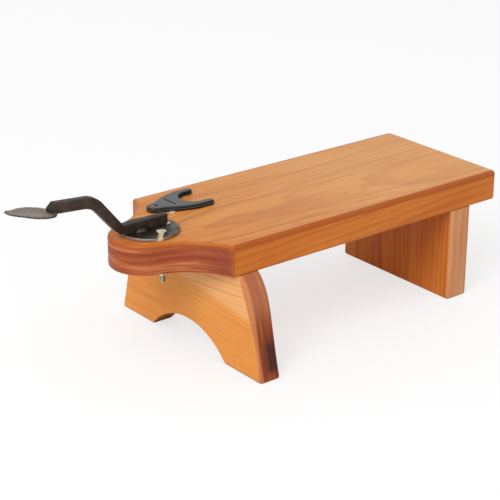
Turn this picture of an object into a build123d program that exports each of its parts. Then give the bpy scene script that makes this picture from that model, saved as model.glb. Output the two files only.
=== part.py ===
"""Bench scraper: a low wooden stool whose round nose carries a cranked steel arm with a
toothed, leaf-shaped blade. The arm is welded to a round plate that turns on the nose, and a
moulded blade guard lies on the seat.

Millimetres. +X runs from the blade towards the rear of the seat, +Z is up, and the origin is on
the floor below the middle of the whole length. The arm is drawn in its working place, along -X.
"""
from build123d import *
import math
import os

# Seat board
board_length = 390.0
board_width = 150.0
board_thickness = 28.5
seat_height = 120.0
nose_radius = 31.3
nose_centre_back = 31.3
hollow_radius = 66.0
nose_to_shoulder = 71.3
top_roundover = 3.5
bottom_roundover = 2.0
rear_corner_round = 4.5

# Legs
front_leg_back = 6.0
front_leg_thickness = 22.3
foot_half_width = 105.6
leg_side_upper = (85.0, 79.0)
leg_side_middle = (94.3, 49.0)
leg_side_lower = (101.0, 18.0)
arch_half_span = 56.0
arch_rise = 26.0
toe_round = 2.0
rear_leg_back = 260.2
rear_leg_thickness = 25.2
leg_edge_round = 3.0
rear_foot_round = 2.8

# Hidden dowels
dowel_radius = 4.0
dowel_length = 38.0
dowel_in_board = 17.0
dowel_end_room = 1.0
dowel_end_break = 0.8
front_dowel_spread = 46.0
rear_dowel_spread = 50.0

# Turning joint at the nose
pivot_back = 37.2
plate_radius = 26.6
plate_thickness = 2.5
plate_edge_break = 0.4
hub_radius = 18.5
hub_clearance = 0.08
hub_proud = 0.2
clamp_plate_radius = 25.0
clamp_plate_thickness = 2.5
bolt_along = 4.3
bolt_across = 12.2
bolt_radius = 2.5
bolt_hole_radius = 2.75
bolt_length = 45.0
bolt_end_break = 0.6
bolt_head_flats = 8.0
low_head_height = 2.6
bolt_head_height = 3.5
bolt_head_turn = 8.0
head_crown_reach = 4.0
head_crown_top = 0.1
head_opening_radius = 5.0
slot_angle = 228.9
washer_radius = 5.0
washer_thickness = 1.0
spring_washer_radius = 4.4
spring_washer_thickness = 1.2
spring_washer_gap = 1.0
nut_height = 4.0
nut_turn = 17.0

# Arm in side view: distance along from the pivot and height above the seat
bar_width = 8.0
bar_tail = 17.5
bar_tail_round = 1.5
bar_foot_top = 12.5
bar_end = -93.9
neck_bottom = -31.2
neck_top = -28.5
head_bottom = (-59.9, 35.8)
head_top = (-54.7, 44.6)
end_bottom_rise = 38.4
end_top_rise = 47.8
outer_bend_radius = 24.0
head_inner_radius = 20.0
head_outer_radius = 20.0
inner_bend_radius = 4.0
bar_edge_break = 0.7
weld_from = -13.4
weld_pitch = 1.5
weld_radius = 3.0
weld_lumps = 4
weld_rise = 0.8
weld_out = 0.6
tail_weld_radius = 2.2
tail_weld_rise = 0.6
tail_weld_row = [(-0.5, -3.8), (0.7, -3.3)]
blade_weld_slope = [(1.2, 47.4), (5.6, 43.4), (6.2, 40.5)]
blade_weld_inset = 0.1

# Blade, measured from its heel
blade_length = 46.4
blade_heel_rise = 39.2
blade_pitch = 12.5
blade_thickness = 1.8
blade_dish_radius = 280.0
blade_heel_half = 5.2
blade_shoulder = (6.5, 12.8)
blade_widest = (17.0, 15.8)
blade_flank = (28.5, 13.4)
blade_waist = (39.3, 8.0)
blade_tip = (45.4, 3.7)
blade_tip_flat = 1.4
blade_tip_notch = 1.0
teeth_from = 0.18
teeth_per_side = 16
tooth_depth = 1.2

# Guard, measured from its nose
guard_nose_back = 61.8
guard_across = 37.0
guard_length = 60.0
guard_half_width = 20.5
guard_thickness = 4.7
guard_edge_round = 1.8
guard_base_break = 0.5
guard_side_front = (11.5, 9.0)
guard_side_middle = (21.5, 14.0)
guard_side_rear = (34.5, 19.0)
guard_straight_from = 46.5
notch_radius = 13.15
notch_depth_x = 36.5
groove_x = 24.1
groove_length = 17.5
groove_width = 1.5
groove_depth = 0.7
hang_hole_x = 9.0
hang_hole_radius = 1.6
pocket_nose_x = 13.0
pocket_side = [(20.0, 7.2), (30.0, 12.8), (40.0, 15.8)]
pocket_half_width = 16.2
pocket_bottom = 0.9
pocket_height = 2.6
clip_x = 16.5
clip_across = 13.9
clip_half_length = 3.0
clip_half_width = 2.4
clip_thickness = 0.9
clip_edge_break = 0.25
clip_recess_across = 14.2
clip_recess_width = 5.4
clip_recess_height = 2.1
clip_recess_room = 0.3

# Places worked out from the driving dimensions
blade_reach = blade_length * math.cos(math.radians(blade_pitch))
tip_to_pivot = blade_reach - bar_end
overall_length = tip_to_pivot + board_length - pivot_back
rear_x = overall_length / 2
nose_tip_x = rear_x - board_length
nose_centre_x = nose_tip_x + nose_centre_back
shoulder_x = nose_tip_x + nose_to_shoulder
pivot_x = nose_tip_x + pivot_back
half_width = board_width / 2
board_bottom = seat_height - board_thickness
plate_bottom = seat_height + hub_proud
plate_top = plate_bottom + plate_thickness
hub_bottom = board_bottom - hub_proud
clamp_bottom = hub_bottom - clamp_plate_thickness
washer_bottom = clamp_bottom - washer_thickness
spring_bottom = washer_bottom - spring_washer_thickness
nut_bottom = spring_bottom - nut_height
front_leg_x = shoulder_x + front_leg_back
rear_leg_x = shoulder_x + rear_leg_back
front_dowel_x = front_leg_x + front_leg_thickness / 2
rear_dowel_x = rear_leg_x + rear_leg_thickness / 2
bolt_x = pivot_x + bolt_along


def cylinder(x, y, bottom, top, radius):
    """Upright cylinder between two heights."""
    return Pos(x, y, bottom) * extrude(Circle(radius), top - bottom)


def ring(x, y, bottom, top, outer, inner):
    """Flat washer or tube."""
    return cylinder(x, y, bottom, top, outer) - cylinder(x, y, bottom - 1, top + 1, inner)


def edges_at_height(solid, height):
    """All edges that lie flat at one height."""
    return solid.edges().filter_by_position(Axis.Z, height - 0.01, height + 0.01)


def hollow_arc(side):
    """Concave arc from a shoulder to its tangent point on the nose circle."""
    span = nose_radius + hollow_radius
    dx = nose_centre_x - shoulder_x
    reach = math.hypot(dx, half_width)
    along = (hollow_radius**2 - span**2 + reach**2) / (2 * reach)
    across = math.sqrt(hollow_radius**2 - along**2)
    ux, uy = dx / reach, half_width / reach
    centre_x = shoulder_x + along * ux - across * uy
    centre_y = -half_width + along * uy + across * ux
    join_x = nose_centre_x + nose_radius * (centre_x - nose_centre_x) / span
    join_y = nose_radius * centre_y / span
    start = math.atan2(-half_width - centre_y, shoulder_x - centre_x)
    end = math.atan2(join_y - centre_y, join_x - centre_x)
    middle = (start + end) / 2
    mid_x = centre_x + hollow_radius * math.cos(middle)
    mid_y = centre_y + hollow_radius * math.sin(middle)
    points = [(shoulder_x, -half_width), (mid_x, mid_y), (join_x, join_y)]
    return [(x, -side * y) for x, y in points]


def board_outline():
    """Plan of the seat: straight sides, hollow curves at the shoulders, round nose."""
    near = hollow_arc(-1)
    far = hollow_arc(1)
    edges = Curve() + [
        Line((rear_x, half_width), (rear_x, -half_width)),
        Line((rear_x, -half_width), near[0]),
        ThreePointArc(*near),
        ThreePointArc(near[2], (nose_tip_x, 0), far[2]),
        ThreePointArc(*reversed(far)),
        Line(far[0], (rear_x, half_width)),
    ]
    return make_face(edges)


def dowel_holes(x, spread):
    """Blind holes that run through the joint between board and leg."""
    bottom = board_bottom - (dowel_length - dowel_in_board) - dowel_end_room
    top = board_bottom + dowel_in_board + dowel_end_room
    return [cylinder(x, y, bottom, top, dowel_radius) for y in (-spread, 0, spread)]


def seat_board():
    """Solid plank with rounded edges, the round bore for the hub and dowel holes."""
    board = Pos(0, 0, board_bottom) * extrude(board_outline(), board_thickness)
    rear = [e for e in board.edges().filter_by(Axis.Z) if e.center().X > rear_x - 0.1]
    board = fillet(rear, rear_corner_round)
    board = fillet(edges_at_height(board, seat_height), top_roundover)
    board = fillet(edges_at_height(board, board_bottom), bottom_roundover)
    bore = hub_radius + hub_clearance
    board -= cylinder(pivot_x, 0, board_bottom - 1, seat_height + 1, bore)
    for hole in dowel_holes(front_dowel_x, front_dowel_spread):
        board -= hole
    for hole in dowel_holes(rear_dowel_x, rear_dowel_spread):
        board -= hole
    return board


def leg_side(side):
    """Flaring outer edge of the front leg, from the board down to the floor."""
    top = (side * half_width, board_bottom)
    foot = (side * foot_half_width, 0)
    inner = [(side * y, z) for y, z in (leg_side_upper, leg_side_middle, leg_side_lower)]
    return Spline(top, *inner, foot)


def front_leg():
    """Arched panel whose sides flare out to two wide feet."""
    profile = Curve() + [
        Line((-half_width, board_bottom), (half_width, board_bottom)),
        leg_side(1),
        Line((foot_half_width, 0), (arch_half_span, 0)),
        ThreePointArc((arch_half_span, 0), (0, arch_rise), (-arch_half_span, 0)),
        Line((-arch_half_span, 0), (-foot_half_width, 0)),
        leg_side(-1),
    ]
    face = Plane.YZ * make_face(profile)
    leg = Pos(front_leg_x, 0, 0) * extrude(face, front_leg_thickness, dir=(1, 0, 0))
    toes = [e for e in leg.edges().filter_by(Axis.X) if abs(e.center().Y) > foot_half_width - 0.1]
    leg = fillet(toes, toe_round)
    sides = [
        e for e in leg.edges()
        if not e.is_closed and abs(e.center().Y) > half_width and 5 < e.center().Z < board_bottom - 1
        and abs((e @ 0).X - (e @ 1).X) < 0.01
    ]
    leg = fillet(sides, leg_edge_round)
    for hole in dowel_holes(front_dowel_x, front_dowel_spread):
        leg -= hole
    return leg


def rear_leg():
    """Plain upright panel as wide as the seat."""
    middle = rear_leg_x + rear_leg_thickness / 2
    leg = Pos(middle, 0, board_bottom / 2) * Box(rear_leg_thickness, board_width, board_bottom)
    leg = fillet(leg.edges().filter_by(Axis.Z), leg_edge_round)
    leg = fillet(edges_at_height(leg, 0), rear_foot_round)
    for hole in dowel_holes(rear_dowel_x, rear_dowel_spread):
        leg -= hole
    return leg


def dowels(x, spread):
    """Wooden dowels that hold a leg to the board, with chamfered ends."""
    bottom = board_bottom - (dowel_length - dowel_in_board)
    pins = []
    for y in (-spread, 0, spread):
        dowel = cylinder(x, y, bottom, bottom + dowel_length, dowel_radius)
        pins.append(chamfer(dowel.edges().filter_by(GeomType.CIRCLE), dowel_end_break))
    return Compound(children=pins)


def bolt_holes(bottom, top):
    """The two bolt holes through a piece of the turning joint."""
    return [cylinder(bolt_x, side * bolt_across, bottom - 1, top + 1, bolt_hole_radius)
            for side in (-1, 1)]


def swivel_plate():
    """Round plate with an open slot that runs from the near bolt out to the rim."""
    plate = cylinder(pivot_x, 0, plate_bottom, plate_top, plate_radius)
    plate = chamfer(plate.edges().filter_by(GeomType.CIRCLE), plate_edge_break)
    slot = Pos(plate_radius / 2, 0, 0) * Box(plate_radius, 2 * bolt_hole_radius, 8)
    plate -= Pos(bolt_x, -bolt_across, plate_bottom) * Rot(0, 0, slot_angle) * slot
    plate -= cylinder(bolt_x, -bolt_across, plate_bottom - 1, plate_top + 1, head_opening_radius)
    for hole in bolt_holes(plate_bottom, plate_top):
        plate -= hole
    return plate


def turntable_hub():
    """Round wooden block that turns in the board's bore between the two plates."""
    hub = cylinder(pivot_x, 0, hub_bottom, plate_bottom, hub_radius)
    for hole in bolt_holes(hub_bottom, plate_bottom):
        hub -= hole
    return hub


def clamp_plate():
    """Round steel plate below the board, clamped to the hub by the two bolts."""
    plate = cylinder(pivot_x, 0, clamp_bottom, hub_bottom, clamp_plate_radius)
    plate = chamfer(plate.edges().filter_by(GeomType.CIRCLE), plate_edge_break)
    for hole in bolt_holes(clamp_bottom, hub_bottom):
        plate -= hole
    return plate


def clamp_bolt(side, seat, head_height):
    """Hexagon-head bolt standing down through the hub and the clamp plate from its seat."""
    y = side * bolt_across
    shank = cylinder(bolt_x, y, seat - bolt_length, seat, bolt_radius)
    shank = chamfer(edges_at_height(shank, seat - bolt_length), bolt_end_break)
    half_flats = bolt_head_flats / 2
    head = extrude(RegularPolygon(half_flats, 6, major_radius=False), head_height)
    crown = Cone(half_flats + head_crown_reach, half_flats + head_crown_top, head_height)
    head = head & (Pos(0, 0, head_height / 2) * crown)
    return shank + Pos(bolt_x, y, seat) * Rot(0, 0, bolt_head_turn * side) * head


def clamp_nut(side):
    """Hexagon nut under its washers."""
    y = side * bolt_across
    nut = extrude(RegularPolygon(bolt_head_flats / 2, 6, major_radius=False), nut_height)
    nut = Pos(bolt_x, y, nut_bottom) * Rot(0, 0, nut_turn * side) * nut
    return nut - cylinder(bolt_x, y, nut_bottom - 1, spring_bottom + 1, bolt_radius)


def flat_washers():
    """One flat washer under the clamp plate at each bolt."""
    return Compound(children=[
        ring(bolt_x, side * bolt_across, washer_bottom, clamp_bottom, washer_radius, bolt_hole_radius)
        for side in (-1, 1)])


def spring_washers():
    """One split spring washer between each flat washer and its nut."""
    rings = []
    for side in (-1, 1):
        y = side * bolt_across
        coil = ring(bolt_x, y, spring_bottom, washer_bottom, spring_washer_radius, bolt_hole_radius)
        gap = Pos(bolt_x + spring_washer_radius, y, spring_bottom)
        rings.append(coil - gap * Box(spring_washer_radius, spring_washer_gap, 8))
    return Compound(children=rings)


def arm_point(along, rise):
    """Point of the arm's side view, from its distance along and its height above the seat."""
    return (pivot_x + along, seat_height + rise)


def scraper_arm():
    """Forged bar bent like a crank: foot on the plate, steep neck, level head for the blade."""
    foot = plate_top - seat_height
    lower = [arm_point(bar_tail, foot), arm_point(neck_bottom, foot),
             arm_point(*head_bottom), arm_point(bar_end, end_bottom_rise)]
    upper = [arm_point(bar_end, end_top_rise), arm_point(*head_top),
             arm_point(neck_top, bar_foot_top), arm_point(bar_tail, bar_foot_top)]
    side_view = Curve() + [
        FilletPolyline(*lower, radius=[outer_bend_radius, head_inner_radius]),
        Line(lower[-1], upper[0]),
        FilletPolyline(*upper, radius=[head_outer_radius, inner_bend_radius]),
        Line(upper[-1], lower[0]),
    ]
    bar = extrude(Plane.XZ * make_face(side_view), bar_width / 2, both=True)
    tail = [e for e in bar.edges().filter_by(Axis.Z) if e.center().X > pivot_x + bar_tail - 0.1]
    bar = fillet(tail, bar_tail_round)
    sides = [e for e in bar.edges() if abs(abs(e.center().Y) - bar_width / 2) < 0.01
             and not (abs((e @ 0).X - (e @ 1).X) < 0.01)]
    return chamfer(sides, bar_edge_break)


def blade_side():
    """One side of the leaf outline, heel to tip."""
    return Spline(
        (0, blade_heel_half), blade_shoulder, blade_widest, blade_flank, blade_waist, blade_tip,
        tangents=[(1, 1.6), (1, -0.75)])


def toothed_face():
    """Leaf face with saw teeth along both sides and a blunt, notched tip."""
    side = blade_side()
    half = [side @ 0, side @ (teeth_from / 3), side @ (2 * teeth_from / 3)]
    for i in range(2 * teeth_per_side + 1):
        t = teeth_from + (1 - teeth_from) * i / (2 * teeth_per_side)
        tangent = side % t
        inward = Vector(tangent.Y, -tangent.X) * (tooth_depth if i % 2 else 0.0)
        half.append(side @ t + inward)
    half += [Vector(blade_length, blade_tip_flat), Vector(blade_length - blade_tip_notch, 0)]
    whole = half + [Vector(p.X, -p.Y) for p in reversed(half[:-1])]
    return make_face(Polyline(*whole, close=True))


def grater_blade():
    """Thin, slightly dished blade, tilted tip up, with teeth along both sides."""
    body = Pos(0, 0, -10) * extrude(toothed_face(), 20)
    rise = math.sqrt(blade_dish_radius**2 - (blade_length / 2) ** 2)
    middle = Pos(blade_length / 2, 0, rise)
    blade = body & (middle * Sphere(blade_dish_radius + blade_thickness / 2))
    blade -= middle * Sphere(blade_dish_radius - blade_thickness / 2)
    heel = Pos(pivot_x + bar_end, 0, seat_height + blade_heel_rise)
    return heel * Rot(0, blade_pitch, 0) * Rot(0, 0, 180) * blade


def blade_weld(arm, blade):
    """Sloping weld from the bar's end down onto the blade."""
    slope = [arm_point(bar_end - out, rise) for out, rise in blade_weld_slope]
    side_view = Plane.XZ * make_face(Polyline(
        arm_point(bar_end, end_top_rise), *slope, arm_point(bar_end, blade_heel_rise), close=True))
    wedge = extrude(side_view, bar_width / 2 - blade_weld_inset, both=True)
    wedge = (wedge - arm) - blade
    return wedge.solids().sort_by(SortBy.VOLUME)[-1]


def bead(points, radius, cutters):
    """Overlapping weld lumps, cut back to the pieces that they join."""
    lump = Pos(*points[0]) * Sphere(radius)
    for i, place in enumerate(points[1:]):
        lump += Pos(*place) * Sphere(radius * (0.9 if i % 2 else 1.0))
    for cutter in cutters:
        lump -= cutter
    return lump.solids().sort_by(SortBy.VOLUME)[-1]


def foot_welds(arm, plate):
    """One lumpy weld on each side of the bar's foot."""
    z = plate_top + weld_rise
    across = bar_width / 2 + weld_out
    places = [pivot_x + weld_from + weld_pitch * i for i in range(weld_lumps)]
    beads = []
    for side in (-1, 1):
        row = [(x, side * across, z) for x in places]
        beads.append(bead(row, weld_radius, (arm, plate)))
    return Compound(children=beads)


def tail_weld(arm, plate):
    """Round bright weld at the near corner of the bar's tail."""
    z = plate_top + tail_weld_rise
    row = [(pivot_x + bar_tail + x, y, z) for x, y in tail_weld_row]
    return bead(row, tail_weld_radius, (arm, plate))


def guard_side(side):
    """One side of the guard, from its pointed nose to where the prong is straight."""
    points = [guard_side_front, guard_side_middle, guard_side_rear]
    inner = [(x, side * y) for x, y in points]
    return Spline((0, 0), *inner, (guard_straight_from, side * guard_half_width),
                  tangents=[(0, side), (1, 0)])


def guard_face():
    """Plan of the guard: rounded nose, widening sides, two prongs round a U-shaped notch."""
    prong = guard_half_width - notch_radius
    straight_end = guard_length - prong / 2
    notch_x = notch_depth_x + notch_radius
    edges = []
    for side in (1, -1):
        outer = side * guard_half_width
        inner = side * notch_radius
        edges += [
            guard_side(side),
            Line((guard_straight_from, outer), (straight_end, outer)),
            ThreePointArc((straight_end, outer), (guard_length, (outer + inner) / 2),
                          (straight_end, inner)),
            Line((straight_end, inner), (notch_x, inner)),
        ]
    edges.append(ThreePointArc((notch_x, notch_radius), (notch_depth_x, 0),
                               (notch_x, -notch_radius)))
    return make_face(Curve() + edges)


def guard_pocket():
    """Leaf-shaped slot that takes the blade, open at the notch and between the prongs."""
    nose = (pocket_nose_x, 0)
    rear = guard_length + 1
    wide = pocket_half_width
    sides = [Spline(nose, *[(x, s * y) for x, y in pocket_side], (rear, s * wide),
                    tangents=[(0, s), (1, 0)]) for s in (1, -1)]
    face = make_face(Curve() + sides + [Line((rear, wide), (rear, -wide))])
    return Pos(0, 0, pocket_bottom) * extrude(face, pocket_height)


def blade_guard():
    """Moulded guard lying flat on the seat, crowned along its upper edge."""
    guard = extrude(guard_face(), guard_thickness)
    guard = fillet(guard.edges().group_by(Axis.Z)[-1], guard_edge_round)
    guard = chamfer(guard.edges().group_by(Axis.Z)[0], guard_base_break)
    guard -= guard_pocket()
    guard -= Pos(hang_hole_x, 0, 0) * Cylinder(hang_hole_radius, 30)
    guard -= Pos(groove_x, 0, guard_thickness) * Box(groove_width, groove_length, 2 * groove_depth)
    recess = Box(2 * (clip_half_length + clip_recess_room), clip_recess_width, 2 * clip_recess_height)
    guard -= Pos(clip_x, -clip_recess_across, 0) * recess
    guard = guard.solids().sort_by(SortBy.VOLUME)[-1]
    return Pos(nose_tip_x + guard_nose_back, guard_across, seat_height) * guard


def guard_clip():
    """Small rounded spring tongue at the foot of the guard's near side."""
    clip = extrude(Ellipse(clip_half_length, clip_half_width), clip_thickness)
    clip = chamfer(edges_at_height(clip, clip_thickness), clip_edge_break)
    x = nose_tip_x + guard_nose_back + clip_x
    return Pos(x, guard_across - clip_across, seat_height) * clip


def build():
    """Every piece by the name of its node."""
    bar = scraper_arm()
    plate = swivel_plate()
    blade = grater_blade()
    bar = (bar - blade).solids().sort_by(SortBy.VOLUME)[-1]
    return {
        "seat_board": seat_board(),
        "front_leg": front_leg(),
        "rear_leg": rear_leg(),
        "front_leg_dowels": dowels(front_dowel_x, front_dowel_spread),
        "rear_leg_dowels": dowels(rear_dowel_x, rear_dowel_spread),
        "swivel_plate": plate,
        "turntable_hub": turntable_hub(),
        "clamp_plate": clamp_plate(),
        "near_clamp_bolt": clamp_bolt(-1, plate_bottom, low_head_height),
        "far_clamp_bolt": clamp_bolt(1, plate_top, bolt_head_height),
        "flat_washers": flat_washers(),
        "spring_washers": spring_washers(),
        "near_clamp_nut": clamp_nut(-1),
        "far_clamp_nut": clamp_nut(1),
        "scraper_arm": bar,
        "foot_welds": foot_welds(bar, plate),
        "tail_weld": tail_weld(bar, plate),
        "grater_blade": blade,
        "blade_weld": blade_weld(bar, blade),
        "blade_guard": blade_guard(),
        "guard_clip": guard_clip(),
    }


os.makedirs("parts", exist_ok=True)
for name, solid in build().items():
    export_step(solid, f"parts/{name}.step")
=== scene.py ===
"""Looks of a bench scraper: a wooden stool with a swivelling, cranked steel arm and blade.

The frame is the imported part's: +X runs to the rear of the seat, -Y is the near side, +Z is up and
the floor is at 0. Lengths are written in millimetres, and MM makes metres of them for Blender.
Noise is stretched in lumps per metre. Colours are linear red, green and blue.
"""
import math

import bmesh
import bpy
import numpy as np
from mathutils import Matrix, Vector


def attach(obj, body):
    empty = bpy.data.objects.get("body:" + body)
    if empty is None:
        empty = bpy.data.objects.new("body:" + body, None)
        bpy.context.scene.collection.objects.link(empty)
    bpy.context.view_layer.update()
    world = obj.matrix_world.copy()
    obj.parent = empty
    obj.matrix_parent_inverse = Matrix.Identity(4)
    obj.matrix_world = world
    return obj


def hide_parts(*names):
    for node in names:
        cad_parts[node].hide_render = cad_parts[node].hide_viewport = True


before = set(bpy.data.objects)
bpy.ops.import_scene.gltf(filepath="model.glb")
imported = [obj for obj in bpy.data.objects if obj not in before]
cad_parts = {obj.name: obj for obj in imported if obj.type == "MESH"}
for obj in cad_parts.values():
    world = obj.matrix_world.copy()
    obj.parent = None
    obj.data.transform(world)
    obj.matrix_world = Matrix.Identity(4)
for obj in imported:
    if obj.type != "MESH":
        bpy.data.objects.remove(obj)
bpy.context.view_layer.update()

MM = 0.001

# Places on the stool and the plate
SHOULDER_X = -72.70
NOSE_TIP_X = SHOULDER_X - 71.3
PIVOT_X = SHOULDER_X - 34.1
FRONT_LEG_X = SHOULDER_X + 6.0
REAR_LEG_END_X = SHOULDER_X + 285.4
SEAT_HALF = 75.0
SEAT_Z = 120.0
PLATE_RADIUS = 26.6
PLATE_TOP = 122.7

# Arm in side view, from the pivot and the seat: corners from tail to blade, and bend radii
BAR_LOWER = [(17.5, 2.7), (-31.2, 2.7), (-59.9, 35.8), (-93.9, 38.4)]
BAR_UPPER = [(17.5, 12.5), (-28.5, 12.5), (-54.7, 44.6), (-93.9, 47.8)]
BAR_LOWER_BENDS = (24.0, 20.0)
BAR_UPPER_BENDS = (4.0, 20.0)
BAR_HALF = 4.0
BAR_EDGE_ROUND = 0.75
BAR_TAIL_ROUND = 1.4

# Blade: half width at distances from its heel, pitch in degrees, radius of its dish, and teeth
BLADE_HALVES = [(0.0, 4.4), (3.0, 8.8), (6.5, 12.2), (11.5, 14.9), (17.0, 16.1), (23.0, 15.6),
                (28.5, 13.8), (33.0, 11.3), (36.0, 9.5), (41.0, 7.7), (44.4, 5.8), (46.2, 2.6)]
BLADE_PITCH = 11.6
BLADE_DISH = 280.0
BLADE_HEEL_RISE = 39.2
BLADE_BEVEL = 3.5
TOOTH_PITCH = 2.9
TOOTH_DEPTH = 1.7
FIRST_TOOTH = 8.0

# Clamp bolts: place, shank, thread, and the seat and height of each head
BOLT_X = PIVOT_X + 4.3
BOLT_Y = 12.2
SHANK_RADIUS = 2.42
SHANK_END_RADIUS = 1.95
SHANK_LENGTH = 45.0
THREAD_LENGTH = 21.0
THREAD_PITCH = 0.8
THREAD_DEPTH = 0.31
HEAD_FLAT = 4.0
HEAD_TURN = 8.0
NEAR_HEAD = (PLATE_TOP - 2.5, 2.6)
FAR_HEAD = (PLATE_TOP, 3.5)

# Weld beads: centre, and half sizes
NEAR_FOOT_WELD = (PIVOT_X - 11.2, -4.5, PLATE_TOP + 0.8)
FAR_FOOT_WELD = (PIVOT_X - 11.2, 4.5, PLATE_TOP + 0.8)
FOOT_WELD_HALVES = (5.3, 2.9, 2.8)
TAIL_WELD = (PIVOT_X + 17.6, -3.5, PLATE_TOP + 0.6)
TAIL_WELD_HALVES = (2.4, 2.2, 2.1)

# Figures in the seat's grain: centre, and spacing of their rings
SEAT_FIGURES = ((150.0, 12.0, 5.5), (58.0, -34.0, 4.6))

# Grain of each wood: origin of its pith line, turn in degrees, ring spacing and wander
SEAT_GRAIN = ((-60.0, -26.0, 40.0), (0.0, 2.6, 1.2), 5.2, 17.0)
FRONT_LEG_GRAIN = ((-10.0, 0.0, 150.0), (0.0, 0.0, 90.0), 4.6, 20.0)
FRONT_LEG_BAND_GRAIN = ((-24.0, 0.0, 118.0), (7.0, 0.0, 90.0), 3.4, 10.0)
REAR_LEG_GRAIN = ((262.0, 40.0, 0.0), (0.0, 90.0, 0.0), 4.2, 12.0)
DOWEL_GRAIN = ((0.0, 0.0, 0.0), (0.0, 90.0, 0.0), 1.8, 4.0)
HUB_GRAIN = ((-140.0, 0.0, 0.0), (0.0, 90.0, 0.0), 1.8, 4.0)

# Noise on sawn ends, in lumps per metre
NOSE_BANDS = (11.0, 11.0, 210.0)
LEG_SIDE_BANDS = (420.0, 16.0, 14.0)

# Wood tones: pale, middle and dark
SEAT_TOP = ((0.69, 0.285, 0.062), (0.61, 0.212, 0.033), (0.36, 0.070, 0.006))
SEAT_SIDE = ((0.66, 0.205, 0.022), (0.59, 0.160, 0.014), (0.34, 0.055, 0.006))
NOSE_SIDE = ((0.58, 0.215, 0.080), (0.44, 0.112, 0.034), (0.27, 0.048, 0.014))
FRONT_LEG_FACE = ((0.79, 0.325, 0.070), (0.72, 0.262, 0.048), (0.52, 0.15, 0.018))
FRONT_LEG_SIDE = ((0.44, 0.130, 0.042), (0.33, 0.070, 0.016), (0.20, 0.034, 0.009))
REAR_LEG_FACE = ((0.66, 0.21, 0.028), (0.56, 0.145, 0.015), (0.30, 0.052, 0.006))
REAR_LEG_SIDE = ((0.72, 0.36, 0.165), (0.60, 0.255, 0.100), (0.40, 0.13, 0.045))
RAW_WOOD = ((0.72, 0.62, 0.38), (0.66, 0.55, 0.31), (0.44, 0.32, 0.15))

# Single tones that a mask lays over a wood or a steel
SEAT_FIGURE = (0.40, 0.085, 0.012)
SEAT_REAR = (0.80, 0.46, 0.20)
SEAT_TIP = (0.52, 0.125, 0.025)
# Painted shade on the seat's rounded edges
SEAT_EDGE_SHADE = (0.37, 0.072, 0.004)
SEAT_BARE = (0.70, 0.60, 0.36)
NOSE_RING = (0.18, 0.026, 0.011)
NOSE_SHADE = (0.20, 0.034, 0.020)
LEG_BAND = (0.84, 0.46, 0.20)
LEG_BAND_LINE = (0.38, 0.12, 0.035)
LEG_SIDE_HIGH = (0.62, 0.26, 0.13)
LEG_SIDE_SHADE = (0.050, 0.014, 0.014)
# Painted shade on the downward faces of the front leg's arch
LEG_ARCH_SHADE = (0.26, 0.050, 0.016)
LEG_STRIP = (0.64, 0.24, 0.085)
REAR_LEG_SHADE = (0.22, 0.050, 0.010)
# Painted shade on the rear leg's rounded back edge
REAR_LEG_BACK_SHADE = (0.34, 0.085, 0.022)
PLATE_FRONT = (0.050, 0.032, 0.024)
# Bare steel of the plate's turned rim, with a painted highlight
PLATE_RIM_AND_GLINT = (0.40, 0.38, 0.35)
ZINC_DARK = (0.16, 0.13, 0.075)
ZINC_BRIGHT = (0.78, 0.73, 0.50)
GUARD_SIDE = (0.005, 0.005, 0.006)
# Painted reflection: paler tones for the guard's upward faces
GUARD_TOP_REFLECTION_DARK = (0.040, 0.041, 0.041)
GUARD_TOP_REFLECTION_PALE = (0.085, 0.082, 0.079)
# Painted highlight along the guard's parting line
GUARD_SEAM_HIGHLIGHT = (0.30, 0.32, 0.31)

# Steel finishes: dark and pale tone, roughness, metallic share and relief
STEELS = {
    "plate_steel": ((0.050, 0.040, 0.033), (0.22, 0.20, 0.18), 0.32, 0.90, 0.10),
    "arm_steel": ((0.036, 0.023, 0.018), (0.080, 0.054, 0.042), 0.34, 0.75, 0.12),
    "weld_steel": ((0.034, 0.027, 0.023), (0.120, 0.105, 0.095), 0.32, 0.90, 0.25),
    "ground_weld": ((0.027, 0.021, 0.012), (0.064, 0.052, 0.032), 0.36, 0.75, 0.20),
    # Paler copy of the weld steel: a painted glint on the tail weld
    "weld_painted_glint": ((0.10, 0.09, 0.08), (0.50, 0.48, 0.45), 0.22, 0.90, 0.25),
    "blade_steel": ((0.19, 0.148, 0.122), (0.33, 0.275, 0.235), 0.36, 0.85, 0.05),
    # Painted shade for the faces along the blade's edge and its thickness
    "blade_edge_shade": ((0.040, 0.032, 0.028), (0.10, 0.085, 0.075), 0.40, 0.70, 0.05),
    # Clip steel whose pale tones are a painted highlight
    "clip_steel": ((0.70, 0.63, 0.46), (0.90, 0.84, 0.66), 0.25, 0.50, 0.02),
    # Paler, flat copy of the bolts' yellow zinc: a painted highlight on the heads
    "zinc_painted_highlight": ((0.62, 0.58, 0.36), (0.82, 0.78, 0.56), 0.38, 0.45, 0.02),
    "bright_zinc": ((0.50, 0.50, 0.51), (0.72, 0.72, 0.74), 0.28, 0.95, 0.03),
}

# Camera: place, turn, dip and roll in degrees, and focal length
CAMERA_PLACE = (SHOULDER_X - 769.9, -1067.5, 632.1)
CAMERA_TURN = 38.43
CAMERA_DIP = 22.27
CAMERA_ROLL = 0.25
CAMERA_LENS = 115.9

# Light in Blender's own units, and the floor: its grey, its grey and glow for the camera
WORLD_STRENGTH = 0.75
LAMP_PLACE = (-1.9, -0.9, 1.9)
LAMP_TARGET = (0.0, 0.0, 0.05)
LAMP_SIZE = 1.3
LAMP_POWER = 42.0
FLOOR_SIZE = 6.0
FLOOR_GREY = 0.80
FLOOR_SEEN_GREY = 0.30
FLOOR_GLOW = 0.675


# ---- shader building ---------------------------------------------------------------------------

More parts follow.
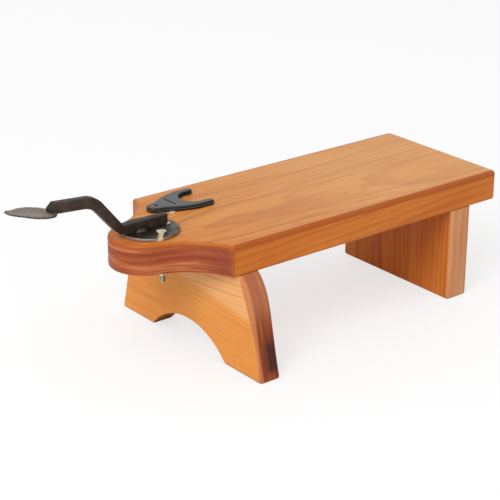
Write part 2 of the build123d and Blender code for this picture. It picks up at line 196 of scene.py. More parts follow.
def add(tree, kind, links=None, **settings):
    """New shader node; links holds its inputs by name or number, settings its properties."""
    node = tree.nodes.new("ShaderNode" + kind)
    for key, value in settings.items():
        setattr(node, key, value)
    for key, value in (links or {}).items():
        if isinstance(value, bpy.types.NodeSocket):
            tree.links.new(value, node.inputs[key])
        else:
            node.inputs[key].default_value = value
    return node


def maths(tree, operation, *values):
    """One step of arithmetic."""
    return add(tree, "Math", dict(enumerate(values)), operation=operation).outputs[0]


def times(tree, *values):
    """Product of all the values."""
    product = values[0]
    for value in values[1:]:
        product = maths(tree, "MULTIPLY", product, value)
    return product


def slope(tree, value, factor, start):
    """value * factor + start."""
    return maths(tree, "MULTIPLY_ADD", value, factor, start)


def step(tree, value, low, high):
    """0 below low, 1 above high, smooth between."""
    return add(tree, "MapRange", {"Value": value, "From Min": low, "From Max": high},
               interpolation_type="SMOOTHSTEP").outputs["Result"]


def fall(tree, value, low, high):
    """1 below low, 0 above high, smooth between."""
    return maths(tree, "SUBTRACT", 1.0, step(tree, value, low, high))


def blend(tree, factor, first, second):
    """Colour between two colours or sockets."""
    node = add(tree, "Mix", {0: factor}, data_type="RGBA")
    for number, value in ((6, first), (7, second)):
        if isinstance(value, bpy.types.NodeSocket):
            tree.links.new(value, node.inputs[number])
        else:
            node.inputs[number].default_value = (*value, 1.0)
    return node.outputs[2]


def tint(tree, colour, other, *masks):
    """The colour, moved towards the other by the product of the masks and shares."""
    return blend(tree, times(tree, *masks), colour, other)


def stretched_noise(tree, point, scale, detail=3.0, rough=0.55):
    """Noise whose lumps are 1/scale metres long along each axis."""
    scaled = add(tree, "VectorMath", {0: point, 1: scale}, operation="MULTIPLY")
    node = add(tree, "TexNoise", {"Vector": scaled.outputs[0], "Scale": 1.0, "Detail": detail,
                                  "Roughness": rough})
    return node.outputs["Fac"]


def sawtooth(tree, count, power, peak):
    """Late wood of one ring: part^power, let down to 0 from the peak to the ring's end."""
    part = maths(tree, "FRACT", count)
    return times(tree, maths(tree, "POWER", part, power), fall(tree, part, peak, 1.0))


def object_point(tree):
    """Place on the piece, in metres."""
    return add(tree, "TexCoord").outputs["Object"]


def split(tree, vector):
    """The X, Y and Z of a vector."""
    return add(tree, "SeparateXYZ", {0: vector}).outputs


def place_on(tree):
    """X, Y and Z on the piece, in millimetres."""
    scaled = add(tree, "VectorMath", {0: object_point(tree), "Scale": 1.0 / MM}, operation="SCALE")
    return split(tree, scaled.outputs[0])


def facing_up(tree):
    """1 where the surface faces up, 0 where it is upright, -1 where it faces down."""
    return split(tree, add(tree, "TexCoord").outputs["Normal"])["Z"]


def distance(tree, x, y):
    """Distance from 0 of the point x, y."""
    level = add(tree, "CombineXYZ", {"X": x, "Y": y, "Z": 0.0}).outputs[0]
    return add(tree, "VectorMath", {0: level}, operation="LENGTH").outputs["Value"]


def from_pivot(tree, place):
    """Distance from the swivel's axis."""
    return distance(tree, maths(tree, "SUBTRACT", place["X"], PIVOT_X), place["Y"])


def turned_point(tree, origin, turn):
    """Place on the piece from a pith origin, turned by the given degrees, in metres."""
    moved = add(tree, "VectorMath", {0: object_point(tree), 1: tuple(v * MM for v in origin)},
                operation="SUBTRACT")
    spun = add(tree, "VectorRotate", {"Vector": moved.outputs[0],
                                      "Rotation": tuple(math.radians(a) for a in turn)},
               rotation_type="EULER_XYZ")
    return spun.outputs[0]


# ---- shared effects ----------------------------------------------------------------------------

def new_group(name, inputs, outputs):
    """Empty node group; returns the tree and its input and output nodes."""
    tree = bpy.data.node_groups.new(name, "ShaderNodeTree")
    for label, kind in inputs:
        tree.interface.new_socket(label, in_out="INPUT", socket_type="NodeSocket" + kind)
    for label in outputs:
        tree.interface.new_socket(label, in_out="OUTPUT", socket_type="NodeSocketFloat")
    return tree, tree.nodes.new("NodeGroupInput"), tree.nodes.new("NodeGroupOutput")


def link_outputs(tree, out, values):
    """Links each named value to the group's output."""
    for label, value in values.items():
        tree.links.new(value, out.inputs[label])
    return tree


def wood_group():
    """Growth rings round a pith line along X, with fibres, pores and slow clouds."""
    tree, given, out = new_group(
        "wood_grain", [("Point", "Vector"), ("Spacing", "Float"), ("Wander", "Float")],
        ["Ring", "Fibre", "Pore", "Cloud", "Streak", "Height"])
    point = given.outputs["Point"]
    slow = stretched_noise(tree, point, (5.0, 17.0, 17.0), 2.0)
    fine = stretched_noise(tree, point, (22.0, 90.0, 90.0), 3.0)
    wander = times(tree, maths(tree, "SUBTRACT", slow, 0.5), given.outputs["Wander"])
    ripple = times(tree, maths(tree, "SUBTRACT", fine, 0.5), 2.2 * MM)
    across = split(tree, point)
    radius = distance(tree, across["Y"], across["Z"])
    radius = maths(tree, "ADD", maths(tree, "ADD", radius, wander), ripple)
    count = maths(tree, "DIVIDE", radius, given.outputs["Spacing"])
    own = add(tree, "TexWhiteNoise", {"W": maths(tree, "FLOOR", count)}, noise_dimensions="1D")
    strength = slope(tree, own.outputs["Value"], 0.75, 0.25)
    ring = times(tree, sawtooth(tree, count, 2.6, 0.88), strength)
    fibre = stretched_noise(tree, point, (26.0, 620.0, 620.0), 4.0, 0.65)
    grains = stretched_noise(tree, point, (120.0, 1900.0, 1900.0), 2.0, 0.5)
    pore = step(tree, grains, 0.62, 0.74)
    height = maths(tree, "SUBTRACT", slope(tree, fibre, 0.35, ring), times(tree, pore, 0.5))
    return link_outputs(tree, out, {
        "Ring": ring, "Fibre": fibre, "Pore": pore, "Height": height,
        "Cloud": stretched_noise(tree, point, (7.0, 28.0, 28.0), 3.0),
        "Streak": stretched_noise(tree, point, (3.2, 95.0, 95.0), 3.0, 0.6)})


def mottle_group():
    """Broad and fine mottling and long filing marks."""
    tree, given, out = new_group("mottle", [("Point", "Vector")], ["Broad", "Fine", "Scratch"])
    point = given.outputs["Point"]
    return link_outputs(tree, out, {
        "Broad": stretched_noise(tree, point, (90.0, 90.0, 90.0), 4.0, 0.6),
        "Fine": stretched_noise(tree, point, (600.0, 600.0, 600.0), 4.0, 0.65),
        "Scratch": stretched_noise(tree, point, (140.0, 1700.0, 1700.0), 2.0, 0.5)})


def place_group(tree, group, point, **values):
    """A shared group placed in a material, with its own values; returns its outputs."""
    node = tree.nodes.new("ShaderNodeGroup")
    node.node_tree = group
    tree.links.new(point, node.inputs["Point"])
    for key, value in values.items():
        node.inputs[key].default_value = value
    return node.outputs


def new_material(name, **sockets):
    """Material with a Principled shader whose constant inputs are set by name."""
    material = bpy.data.materials.new(name)
    material.use_nodes = True
    shader = material.node_tree.nodes["Principled BSDF"]
    for key, value in sockets.items():
        shader.inputs[key.replace("_", " ")].default_value = value
    return material, material.node_tree, shader


def finish(tree, shader, colour, rough, height, strength, relief):
    """Links a colour, a roughness and a bump of the given strength and relief."""
    bump = add(tree, "Bump", {"Height": height, "Strength": strength, "Distance": relief * MM})
    tree.links.new(colour, shader.inputs["Base Color"])
    tree.links.new(rough, shader.inputs["Roughness"])
    tree.links.new(bump.outputs[0], shader.inputs["Normal"])


# ---- woods -------------------------------------------------------------------------------------

def grain_nodes(tree, pith, turn, spacing, wander):
    """Wood grain placed on a piece: pith origin, its turn, ring spacing and wander."""
    return place_group(tree, WOOD, turned_point(tree, pith, turn), Spacing=spacing * MM,
                       Wander=wander * MM)


def wood_colour(tree, grain, tones, ring=0.8, streak=0.45):
    """Three-tone wood colour from the grain outputs."""
    pale, middle, dark = tones
    colour = blend(tree, step(tree, grain["Cloud"], 0.3, 0.7), pale, middle)
    colour = tint(tree, colour, dark, step(tree, grain["Streak"], 0.52, 0.70), streak)
    colour = tint(tree, colour, dark, grain["Ring"], ring)
    colour = tint(tree, colour, dark, step(tree, grain["Fibre"], 0.35, 0.75), 0.3)
    return tint(tree, colour, dark, grain["Pore"], 0.3)


def end_grain(tree, stretch, tones):
    """Bands of three tones for sawn ends, from noise stretched along two axes."""
    pale, middle, dark = tones
    point = object_point(tree)
    broad = stretched_noise(tree, point, stretch, 3.0, 0.6)
    fine = stretched_noise(tree, point, tuple(3.6 * s for s in stretch), 3.0, 0.6)
    colour = blend(tree, step(tree, broad, 0.36, 0.62), dark, middle)
    colour = tint(tree, colour, pale, step(tree, broad, 0.56, 0.70), 0.8)
    return tint(tree, colour, dark, step(tree, fine, 0.50, 0.64), 0.65)


def finish_wood(tree, shader, grain, colour):
    """Satin sheen and fine relief of lacquered wood."""
    finish(tree, shader, colour, slope(tree, grain["Fibre"], 0.16, 0.36), grain["Height"],
           strength=0.35, relief=0.12)


def seat_figures(tree, place, colour):
    """Two soft figures on the seat: rings of a wandering, long ellipse round each centre."""
    drift = stretched_noise(tree, object_point(tree), (14.0, 60.0, 10.0), 2.0)
    for x, y, spacing in SEAT_FIGURES:
        along = times(tree, maths(tree, "SUBTRACT", place["X"], x), 0.16)
        across = maths(tree, "SUBTRACT", place["Y"], y)
        far = slope(tree, drift, 7.0, distance(tree, along, across))
        line = sawtooth(tree, maths(tree, "DIVIDE", far, spacing), 3.0, 0.85)
        colour = tint(tree, colour, SEAT_FIGURE, line, fall(tree, far, 9.0, 22.0), 0.75)
    return colour


def board_wood():
    """Seat board: long soft rings and figures on top, a redder nose with banded sides, painted
    shade on the rounded edges, and bare wood below the plate."""
    material, tree, shader = new_material("board_wood", Coat_Weight=0.04, Coat_Roughness=0.2,
                                          Specular_IOR_Level=0.2)
    grain = grain_nodes(tree, *SEAT_GRAIN)
    place = place_on(tree)
    top = wood_colour(tree, grain, SEAT_TOP, ring=0.85, streak=0.34)
    top = seat_figures(tree, place, top)
    top = tint(tree, top, SEAT_REAR, step(tree, place["X"], -110.0, 150.0), 0.35)
    tip = fall(tree, place["X"], NOSE_TIP_X + 6.0, NOSE_TIP_X + 60.0)
    top = tint(tree, top, SEAT_TIP, tip, 0.55)

    below_top = fall(tree, place["Z"], SEAT_Z - 3.8, SEAT_Z - 0.4)
    side = wood_colour(tree, grain, SEAT_SIDE, ring=0.65, streak=0.3)
    colour = blend(tree, below_top, top, side)

    front = fall(tree, place["X"], SHOULDER_X - 2.3, SHOULDER_X + 2.7)
    nose = end_grain(tree, NOSE_BANDS, NOSE_SIDE)
    nose = tint(tree, nose, NOSE_RING, grain["Ring"], 0.35)
    colour = tint(tree, colour, nose, front, below_top)
    near = fall(tree, place["Y"], -70.0, -34.0)
    colour = tint(tree, colour, NOSE_SHADE, front, below_top, near, 0.55)

    # Painted shade: the rounded edges round the top are darkened, less on the nose
    sides = step(tree, maths(tree, "ABSOLUTE", place["Y"]), SEAT_HALF - 4.4, SEAT_HALF - 3.4)
    under = fall(tree, place["Z"], SEAT_Z - 0.3, SEAT_Z - 0.05)
    high = step(tree, place["Z"], SEAT_Z - 5.4, SEAT_Z - 3.8)
    edge = times(tree, high, maths(tree, "MAXIMUM", sides, under))
    colour = tint(tree, colour, SEAT_EDGE_SHADE, edge, slope(tree, front, -0.4, 1.0), 0.88)
    bare = fall(tree, from_pivot(tree, place), PLATE_RADIUS - 1.6, PLATE_RADIUS - 1.0)
    colour = tint(tree, colour, SEAT_BARE, bare)
    finish_wood(tree, shader, grain, colour)
    return material


def front_leg_wood():
    """Front leg: golden face with a paler ringed band above, red flared sides with painted shade
    low at the back, and painted shade on the arch's downward faces. depth is the distance out from
    the flared side's line, |y| - (104.6 - 0.12 z - 0.0021 z^2)."""
    material, tree, shader = new_material("front_leg_wood", Coat_Weight=0.02, Coat_Roughness=0.25,
                                          Specular_IOR_Level=0.15)
    grain = grain_nodes(tree, *FRONT_LEG_GRAIN)
    tilted = grain_nodes(tree, *FRONT_LEG_BAND_GRAIN)
    place = place_on(tree)
    x, y, z = place["X"], place["Y"], place["Z"]
    face = wood_colour(tree, grain, FRONT_LEG_FACE, ring=0.35, streak=0.3)
    band = times(tree, step(tree, slope(tree, y, -0.102, z), 60.0, 67.0), fall(tree, y, 0.0, 34.0))
    face = tint(tree, face, LEG_BAND, band, 0.6)
    face = tint(tree, face, LEG_BAND_LINE, tilted["Ring"], slope(tree, band, 0.52, 0.15))

    side_line = maths(tree, "ADD", slope(tree, z, -0.12, 104.6), times(tree, z, z, -0.0021))
    depth = maths(tree, "SUBTRACT", maths(tree, "ABSOLUTE", y), side_line)
    side = end_grain(tree, LEG_SIDE_BANDS, FRONT_LEG_SIDE)
    side = tint(tree, side, LEG_SIDE_HIGH, step(tree, z, 42.0, 70.0), 0.38)
    side = tint(tree, side, LEG_SIDE_SHADE, fall(tree, z, 26.0, 48.0), step(tree, z, 2.0, 12.0),
                step(tree, x, FRONT_LEG_X + 4.0, FRONT_LEG_X + 14.0), 0.92)
    near = slope(tree, fall(tree, y, 0.0, 1.0), 0.75, 0.25)
    colour = tint(tree, face, side, step(tree, depth, -2.6, -0.8), near)

    # Painted shade: faces that point down, under the arch, are darkened
    colour = tint(tree, colour, LEG_ARCH_SHADE, fall(tree, facing_up(tree), -0.5, -0.2), 0.8)
    front = fall(tree, x, FRONT_LEG_X + 2.5, FRONT_LEG_X + 5.5)
    colour = tint(tree, colour, LEG_STRIP, front, step(tree, depth, -3.6, -2.2), 0.6)
    finish_wood(tree, shader, grain, colour)
    return material


def rear_leg_wood():
    """Rear leg: upright streaks, painted shade high on its face, a paler near side with painted
    shade on its rounded back edge.
    """
    material, tree, shader = new_material("rear_leg_wood", Coat_Weight=0.04, Coat_Roughness=0.25,
                                          Specular_IOR_Level=0.25)
    grain = grain_nodes(tree, *REAR_LEG_GRAIN)
    place = place_on(tree)
    colour = wood_colour(tree, grain, REAR_LEG_FACE)
    high, far = step(tree, place["Z"], 30.0, 90.0), step(tree, place["Y"], -60.0, 40.0)
    colour = tint(tree, colour, REAR_LEG_SHADE, high, far, 0.5)
    side = fall(tree, place["Y"], -SEAT_HALF + 0.5, -SEAT_HALF + 3.5)
    colour = tint(tree, colour, wood_colour(tree, grain, REAR_LEG_SIDE), side)
    # Painted shade on the near side's rounded back edge
    back = step(tree, place["X"], REAR_LEG_END_X - 4.7, REAR_LEG_END_X - 0.7)
    colour = tint(tree, colour, REAR_LEG_BACK_SHADE, side, back, 0.5)
    finish_wood(tree, shader, grain, colour)
    return material


def raw_wood(name, placing):
    """Unfinished hidden wood of the dowels and the hub."""
    material, tree, shader = new_material(name, Specular_IOR_Level=0.25)
    grain = grain_nodes(tree, *placing)
    finish_wood(tree, shader, grain, wood_colour(tree, grain, RAW_WOOD))
    return material


# ---- metals, plastic and floor -----------------------------------------------------------------

def steel(name, recolour=None):
    """Mottled steel between two tones, with filing marks along X; recolour may change it."""
    dark, pale, rough, metal, relief = STEELS[name]
    material, tree, shader = new_material(name, Metallic=metal)
    mottle = place_group(tree, MOTTLE, object_point(tree))
    fine, scratch = mottle["Fine"], mottle["Scratch"]
    colour = blend(tree, step(tree, mottle["Broad"], 0.35, 0.68), dark, pale)
    colour = tint(tree, colour, dark, step(tree, fine, 0.5, 0.75), 0.35)
    colour = tint(tree, colour, pale, scratch, 0.2)
    if recolour:
        colour = recolour(tree, colour)
    finish(tree, shader, colour, slope(tree, fine, 0.22, rough), slope(tree, fine, 0.7, scratch),
           strength=0.5, relief=relief)
    return material


def turned_plate(tree, colour):
    """Darkens the plate's front and bares its turned rim, with a painted highlight on the rim that
    is stronger in front.
    """
    place = place_on(tree)
    front = fall(tree, place["X"], PIVOT_X - 4.0, PIVOT_X + 12.0)
    rim = step(tree, from_pivot(tree, place), PLATE_RADIUS - 0.5, PLATE_RADIUS - 0.1)
    colour = tint(tree, colour, PLATE_FRONT, front, 0.75)
    # Bare rim with a painted highlight, stronger in front
    return tint(tree, colour, PLATE_RIM_AND_GLINT, rim, slope(tree, front, 0.7, 0.2))


def bolt_zinc(name):
    """Yellow zinc with dark and bright upright streaks."""
    material, tree, shader = new_material(name, Metallic=0.9)
    streak = stretched_noise(tree, object_point(tree), (620.0, 620.0, 30.0), 3.0, 0.6)
    colour = blend(tree, step(tree, streak, 0.40, 0.60), ZINC_DARK, ZINC_BRIGHT)
    tree.links.new(colour, shader.inputs["Base Color"])
    tree.links.new(slope(tree, streak, 0.2, 0.2), shader.inputs["Roughness"])
    return material


def guard_plastic():
    """Dark plastic, near black on its sides, with a paler mottled top that is a painted reflection,
    a slight orange-peel skin and a painted highlight along the parting line."""
    material, tree, shader = new_material("guard_plastic", Specular_IOR_Level=0.35,
                                          Coat_Weight=0.08, Coat_Roughness=0.12)
    mottle = place_group(tree, MOTTLE, object_point(tree))
    # Painted reflection: the top faces are paler than the near black sides
    top = blend(tree, mottle["Broad"], GUARD_TOP_REFLECTION_DARK, GUARD_TOP_REFLECTION_PALE)
    colour = blend(tree, step(tree, facing_up(tree), 0.70, 0.96), GUARD_SIDE, top)
    height = place_on(tree)["Z"]
    # Painted highlight on the parting line round the sides
    colour = tint(tree, colour, GUARD_SEAM_HIGHLIGHT, step(tree, height, SEAT_Z + 1.9, SEAT_Z + 2.15),
                  fall(tree, height, SEAT_Z + 2.35, SEAT_Z + 2.6), 0.4)
    finish(tree, shader, colour, slope(tree, mottle["Fine"], 0.12, 0.24), mottle["Fine"],
           strength=0.25, relief=0.03)
    return material


def floor_material():
    """Pale floor. Camera rays see it partly lit and partly by its own light, near white."""
    material, tree, shader = new_material("floor", Roughness=0.9, Specular_IOR_Level=0.1)
    seen = add(tree, "LightPath").outputs["Is Camera Ray"]
    colour = blend(tree, seen, (FLOOR_GREY,) * 3, (FLOOR_SEEN_GREY,) * 3)
    tree.links.new(colour, shader.inputs["Base Color"])
    shader.inputs["Emission Color"].default_value = (1.0, 1.0, 1.0, 1.0)
    tree.links.new(times(tree, seen, FLOOR_GLOW), shader.inputs["Emission Strength"])
    return material


# ---- camera and light --------------------------------------------------------------------------

def set_camera():
    """Camera of the photograph: its place comes from the board's straight edges and the legs."""
    turn, dip = math.radians(CAMERA_TURN), math.radians(CAMERA_DIP)
    ahead = Vector((math.sin(turn) * math.cos(dip), math.cos(turn) * math.cos(dip), -math.sin(dip)))
    facing = ahead.to_track_quat("-Z", "Y").to_matrix().to_4x4()
    roll = Matrix.Rotation(math.radians(CAMERA_ROLL), 4, "Z")
    camera = bpy.data.objects.new("camera", bpy.data.cameras.new("camera"))
    camera.data.sensor_width = 36.0
    camera.data.lens = CAMERA_LENS
    camera.data.clip_start = 0.05
    camera.matrix_world = Matrix.Translation(Vector(CAMERA_PLACE) * MM) @ facing @ roll
    bpy.context.scene.collection.objects.link(camera)
    bpy.context.scene.camera = camera


def set_lamp():
    """One soft square lamp that faces the stool."""
    lamp = bpy.data.lights.new("key", "AREA")
    lamp.shape = "SQUARE"
    lamp.size = LAMP_SIZE
    lamp.energy = LAMP_POWER
    holder = bpy.data.objects.new("key", lamp)
    holder.location = LAMP_PLACE
    facing = Vector(LAMP_TARGET) - Vector(LAMP_PLACE)
    holder.rotation_euler = facing.to_track_quat("-Z", "Y").to_euler()
    bpy.context.scene.collection.objects.link(holder)


def set_world():
    """Even white surroundings that the camera sees as plain white."""
    world = bpy.data.worlds.new("studio")
    world.use_nodes = True
    tree = world.node_tree
    back = tree.nodes["Background"]
    back.inputs["Color"].default_value = (1.0, 1.0, 1.0, 1.0)
    seen = add(tree, "LightPath").outputs["Is Camera Ray"]
    level = add(tree, "Mix", {0: seen, 2: WORLD_STRENGTH, 3: 1.0}, data_type="FLOAT")
    tree.links.new(level.outputs[0], back.inputs["Strength"])
    bpy.context.scene.world = world


# ---- surfaces computed with numpy --------------------------------------------------------------

def grid_piece(name, points, materials, node, marks=None, sharp=35.0):
    """Closed piece on the scraper's body from a grid of points (rows, columns, 3): columns wrap
    round, seams merge and faces look outward. It replaces the node, if there is one. marks gives
    each face its material, all 0 without it. Edges sharper than the given degrees stay sharp."""
    rows, columns = points.shape[:2]
    index = np.arange(rows * columns).reshape(rows, columns)
    after = np.roll(index, -1, axis=1)
    faces = np.stack([index[:-1], after[:-1], after[1:], index[1:]], axis=-1).reshape(-1, 4)
    mesh = bpy.data.meshes.new(name)
    mesh.from_pydata((points.reshape(-1, 3) * MM).tolist(), [], faces.tolist())
    for material in materials:
        mesh.materials.append(material)
    if marks is not None:
        mesh.polygons.foreach_set("material_index", marks.astype(np.int32).ravel())
    shape = bmesh.new()
    shape.from_mesh(mesh)
    bmesh.ops.remove_doubles(shape, verts=shape.verts, dist=0.004 * MM)
    bmesh.ops.dissolve_degenerate(shape, dist=0.001 * MM, edges=shape.edges)
    bmesh.ops.recalc_face_normals(shape, faces=shape.faces)
    shape.to_mesh(mesh)
    shape.free()
    mesh.shade_smooth()
    mesh.set_sharp_from_angle(angle=math.radians(sharp))
    piece = bpy.data.objects.new(name, mesh)
    bpy.context.scene.collection.objects.link(piece)
    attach(piece, "scraper")
    if node:
        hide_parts(node)


def close_ends(grid):
    """The grid with its first and last row drawn in to their middles."""
    first = grid[:1].mean(axis=1, keepdims=True) + np.zeros_like(grid[:1])
    last = grid[-1:].mean(axis=1, keepdims=True) + np.zeros_like(grid[:1])
    return np.concatenate([first, grid, last])


def threaded_shank(name, side, seat, material, node):
    """Shank turned about its axis: radius - depth * (1 + cos(turn - 2 pi height / pitch)) / 2,
    where the thread's depth fades out over its last 2 mm."""
    turn = np.linspace(0.0, 2.0 * np.pi, 48, endpoint=False)
    low = seat - SHANK_LENGTH
    threaded = np.arange(low + 0.1, low + (THREAD_LENGTH + 1.0), 0.1)
    heights = np.concatenate([[low, low], threaded, [seat, seat]])
    radii = np.full(heights.shape, SHANK_RADIUS)
    radii[0] = radii[-1] = 0.0
    radii[1] = SHANK_END_RADIUS
    wave = (1.0 + np.cos(turn - 2.0 * np.pi * heights[:, None] / THREAD_PITCH)) / 2.0
    cut = np.clip((low + THREAD_LENGTH - heights) / 2.0, 0.0, 1.0) * (heights > low + 0.5)
    reach = radii[:, None] - THREAD_DEPTH * wave * cut[:, None]
    x = BOLT_X + reach * np.cos(turn)
    y = side * BOLT_Y + reach * np.sin(turn)
    shank = np.stack([x, y, np.broadcast_to(heights[:, None], x.shape)], axis=-1)
    grid_piece(name, shank, [material], node)


def hexagon_head(name, side, seat, height, material):
    """Hexagon whose reach is flat / cos(angle to the nearest flat), with crowned corners."""
    turn = np.linspace(0.0, 2.0 * np.pi, 96, endpoint=False)
    hexagon = HEAD_FLAT / np.cos((turn + np.pi / 6.0) % (np.pi / 3.0) - np.pi / 6.0)
    profile = [(0.0, 0.0), (0.97, 0.0), (1.0, 0.12), (1.0, 1.0), (0.93, 1.0), (0.0, 1.0)]
    share = np.array([r for r, _ in profile])[:, None]
    level = np.array([h for _, h in profile])[:, None] * np.ones_like(turn)
    crown = np.clip((hexagon - HEAD_FLAT - 0.1) / 0.5, 0.0, 1.0) * 0.5 * (level == 1.0)
    spin = math.radians(HEAD_TURN * side)
    x = BOLT_X + share * hexagon * np.cos(turn + spin)
    y = side * BOLT_Y + share * hexagon * np.sin(turn + spin)
    z = seat + level * height - crown * (share > 0.9)
    grid_piece(name, np.stack([x, y, z], axis=-1), [material], None, sharp=25.0)


def bent_line(corners, radii):
    """Line through four corners whose two inner corners are arcs of the given radii that touch
    both neighbours: centre = corner + bisector * radius / sin(half the angle)."""
    start, first, second, end = (np.array(c) for c in corners)
    share = np.linspace(0.0, 1.0, 14)[:, None]
    sweep = np.linspace(0.0, 1.0, 12)[1:-1, None]
    rows, last = [], start
    for before, corner, after, radius in ((start, first, second, radii[0]),
                                          (first, second, end, radii[1])):
        inward = (before - corner) / np.linalg.norm(before - corner)
        outward = (after - corner) / np.linalg.norm(after - corner)
        half = np.arccos(np.clip(inward @ outward, -1.0, 1.0)) / 2.0
        bisector = (inward + outward) / np.linalg.norm(inward + outward)
        centre = corner + bisector * radius / np.sin(half)
        touch_in = corner + inward * radius / np.tan(half)
        touch_out = corner + outward * radius / np.tan(half)
        chord = (touch_in - centre) * (1.0 - sweep) + (touch_out - centre) * sweep
        arc = centre + chord / np.linalg.norm(chord, axis=1, keepdims=True) * radius
        rows += [last + (touch_in - last) * share, arc]
        last = touch_out
    return np.concatenate([*rows, last + (end - last) * share])


def tail_stations(line):
    """The line with seven more points in its first step, closest together at the tail."""
    share = np.linspace(0.0, 1.0, 9)[1:-1, None] ** 2
    return np.concatenate([line[:1], line[0] + (line[1] - line[0]) * share, line[1:]])


def rounded_square(radius):
    """Across and up round a square from -1 to 1 whose corners are quarter circles."""
    quarter = np.linspace(0.0, np.pi / 2.0, 6)
    corners = ((1, 1, quarter[::-1]), (1, -1, quarter), (-1, -1, quarter[::-1]), (-1, 1, quarter))
    across = [y * (1.0 - radius * (1.0 - np.cos(turn))) for y, _, turn in corners]
    up = [z * (1.0 - radius * (1.0 - np.sin(turn))) for _, z, turn in corners]
    return np.concatenate(across), np.concatenate(up)


def arm_piece(material):
    """Bar swept between two bent lines. Each station is a rounded rectangle; its width follows a
    circle of the tail's round, r - sqrt(r^2 - (r - distance)^2), and waves by up to 2%."""
    lower = tail_stations(bent_line(BAR_LOWER, BAR_LOWER_BENDS))
    upper = tail_stations(bent_line(BAR_UPPER, BAR_UPPER_BENDS))
    from_tail = lower[0, 0] - lower[:, 0]
    dip = BAR_TAIL_ROUND - np.clip(from_tail, 0.0, BAR_TAIL_ROUND)
    half = BAR_HALF - (BAR_TAIL_ROUND - np.sqrt(BAR_TAIL_ROUND**2 - dip**2))
    wave = 1.0 + 0.012 * np.sin(from_tail / 3.1) + 0.010 * np.sin(from_tail / 1.7 + 1.0)
    across, up = rounded_square(BAR_EDGE_ROUND / BAR_HALF)
    middle, rise = (lower + upper) / 2.0, (upper - lower) / 2.0
    x = PIVOT_X + middle[:, :1] + rise[:, :1] * up
    y = (half * wave)[:, None] * across
    z = SEAT_Z + middle[:, 1:] + rise[:, 1:] * up
    grid = close_ends(np.stack([x, y, z], axis=-1))
    grid_piece("bent_bar", grid, [material], "scraper_arm", sharp=38.0)


def smooth_curve(points, places):
    """Cubic Hermite curve through points, read at the given first coordinates."""
    known = np.array(points)
    rate = np.gradient(known[:, 1], known[:, 0])
    i = np.clip(np.searchsorted(known[:, 0], places) - 1, 0, len(known) - 2)
    gap = known[i + 1, 0] - known[i, 0]
    t = (places - known[i, 0]) / gap
    return ((2 * t**3 - 3 * t**2 + 1) * known[i, 1] + (t**3 - 2 * t**2 + t) * gap * rate[i]
            + (3 * t**2 - 2 * t**3) * known[i + 1, 1] + (t**3 - t**2) * gap * rate[i + 1])


def blade_piece(face, edge):
    """Dished leaf with worn saw teeth, u along it and v across it:
    rise = ((u - L/2)^2 + v^2 - (L/2)^2) / (2 * dish). A filed bevel thins it to its edge."""
    rows, columns = 420, 41
    length = BLADE_HALVES[-1][0]
    u = np.linspace(0.0, length, rows)
    tooth = (np.abs((u / TOOTH_PITCH) % 1.0 - 0.5) * 2.0) ** 1.6
    worn = 0.7 + 0.3 * np.sin(u * 1.9) * np.sin(u * 0.7 + 1.0)
    toothed = (np.clip((u - FIRST_TOOTH) / 2.0, 0.0, 1.0)
               * np.clip((length - 0.4 - u) / 1.5, 0.0, 1.0))
    half = smooth_curve(BLADE_HALVES, u) - TOOTH_DEPTH * worn * toothed * tooth
    u, half = u[:, None], half[:, None]
    share = np.linspace(-1.0, 1.0, columns)
    share = np.concatenate([share, share[::-1]])
    upper = np.concatenate([np.ones(columns), -np.ones(columns)])
    bevel = (np.clip(half * (1.0 - np.abs(share)) / BLADE_BEVEL, 0.0, 1.0)
             * np.clip((length - u) / 2.5, 0.2, 1.0))
    v = half * share
    rise = ((u - length / 2.0) ** 2 + v**2 - (length / 2.0) ** 2) / (2.0 * BLADE_DISH)
    w = rise + upper * (0.5 + 0.4 * bevel)
    pitch = math.radians(BLADE_PITCH)
    x = PIVOT_X + BAR_LOWER[-1][0] - u * math.cos(pitch) + w * math.sin(pitch)
    z = SEAT_Z + BLADE_HEEL_RISE + u * math.sin(pitch) + w * math.cos(pitch)
    grid = close_ends(np.stack([x, -v, z], axis=-1))
    # The faces beside the edge take the second material, painted shade on the blade's thickness
    beside_edge = (0, columns - 2, columns - 1, columns, 2 * columns - 2, 2 * columns - 1)
    marks = np.tile(np.isin(np.arange(2 * columns), beside_edge), (len(grid) - 1, 1))
    grid_piece("toothed_blade", grid, [face, edge], "grater_blade", marks, 30.0)


def weld_lump(name, centre, halves, material, node):
    """Weld bead: an ellipsoid whose radius grows by 8% in ripples along it, with small blisters."""
    polar = np.linspace(0.0, np.pi, 40)[:, None]
    turn = np.linspace(0.0, 2.0 * np.pi, 64, endpoint=False)[None, :]
    ball = np.stack([np.cos(polar) + 0.0 * turn, np.sin(polar) * np.cos(turn),
                     np.sin(polar) * np.sin(turn)], axis=-1)
    ripple = 1.0 + 0.08 * np.cos(9.0 * polar + 0.5 * np.cos(turn)) * np.sin(polar)
    blister = 0.05 * np.sin(5.0 * turn + 3.0 * polar) * np.sin(polar) ** 2
    grid = np.array(centre) + ball * np.array(halves) * (ripple + blister)[..., None]
    grid_piece(name, grid, [material], node, sharp=180.0)


# ---- the scene ---------------------------------------------------------------------------------

WOOD = wood_group()
MOTTLE = mottle_group()
set_camera()
set_world()
set_lamp()

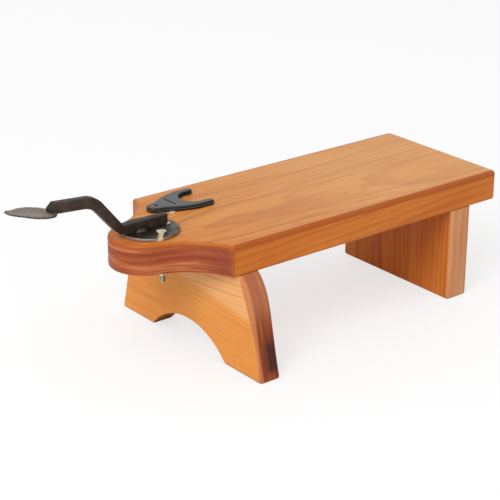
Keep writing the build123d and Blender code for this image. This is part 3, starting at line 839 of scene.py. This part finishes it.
dowel_wood = raw_wood("dowel_wood", DOWEL_GRAIN)
plate_steel = steel("plate_steel", turned_plate)
arm_steel = steel("arm_steel")
weld_steel = steel("weld_steel")
weld_painted_glint = steel("weld_painted_glint")
blade_steel = steel("blade_steel")
bright_zinc = steel("bright_zinc")
yellow_zinc = bolt_zinc("yellow_zinc")
zinc_painted_highlight = steel("zinc_painted_highlight")
LOOKS = {
    "seat_board": board_wood(),
    "front_leg": front_leg_wood(),
    "rear_leg": rear_leg_wood(),
    "front_leg_dowels": dowel_wood,
    "rear_leg_dowels": dowel_wood,
    "turntable_hub": raw_wood("hub_wood", HUB_GRAIN),
    "swivel_plate": plate_steel,
    "clamp_plate": plate_steel,
    "near_clamp_bolt": yellow_zinc,
    "far_clamp_bolt": yellow_zinc,
    "near_clamp_nut": yellow_zinc,
    "far_clamp_nut": yellow_zinc,
    "flat_washers": bright_zinc,
    "spring_washers": bright_zinc,
    "scraper_arm": arm_steel,
    "foot_welds": weld_steel,
    "tail_weld": weld_painted_glint,
    "blade_weld": steel("ground_weld"),
    "grater_blade": blade_steel,
    "blade_guard": guard_plastic(),
    "guard_clip": steel("clip_steel"),
}
for name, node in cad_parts.items():
    node.data.materials.clear()
    node.data.materials.append(LOOKS[name])

arm_piece(arm_steel)
blade_piece(blade_steel, steel("blade_edge_shade"))
weld_lump("near_foot_weld", NEAR_FOOT_WELD, FOOT_WELD_HALVES, weld_steel, "foot_welds")
weld_lump("far_foot_weld", FAR_FOOT_WELD, FOOT_WELD_HALVES, weld_steel, None)
# The tail weld takes the paler weld steel, a painted glint
weld_lump("tail_glint_weld", TAIL_WELD, TAIL_WELD_HALVES, weld_painted_glint, "tail_weld")
threaded_shank("near_bolt_thread", -1, NEAR_HEAD[0], yellow_zinc, "near_clamp_bolt")
# The heads take the paler zinc, a painted highlight
hexagon_head("near_bolt_thread_head", -1, *NEAR_HEAD, zinc_painted_highlight)
threaded_shank("far_bolt_thread", 1, FAR_HEAD[0], yellow_zinc, "far_clamp_bolt")
hexagon_head("far_bolt_thread_head", 1, *FAR_HEAD, zinc_painted_highlight)

bpy.ops.mesh.primitive_plane_add(size=FLOOR_SIZE)
floor = bpy.context.object
floor.name = "floor"
floor.data.materials.append(floor_material())

bpy.context.scene.view_settings.view_transform = "Standard"
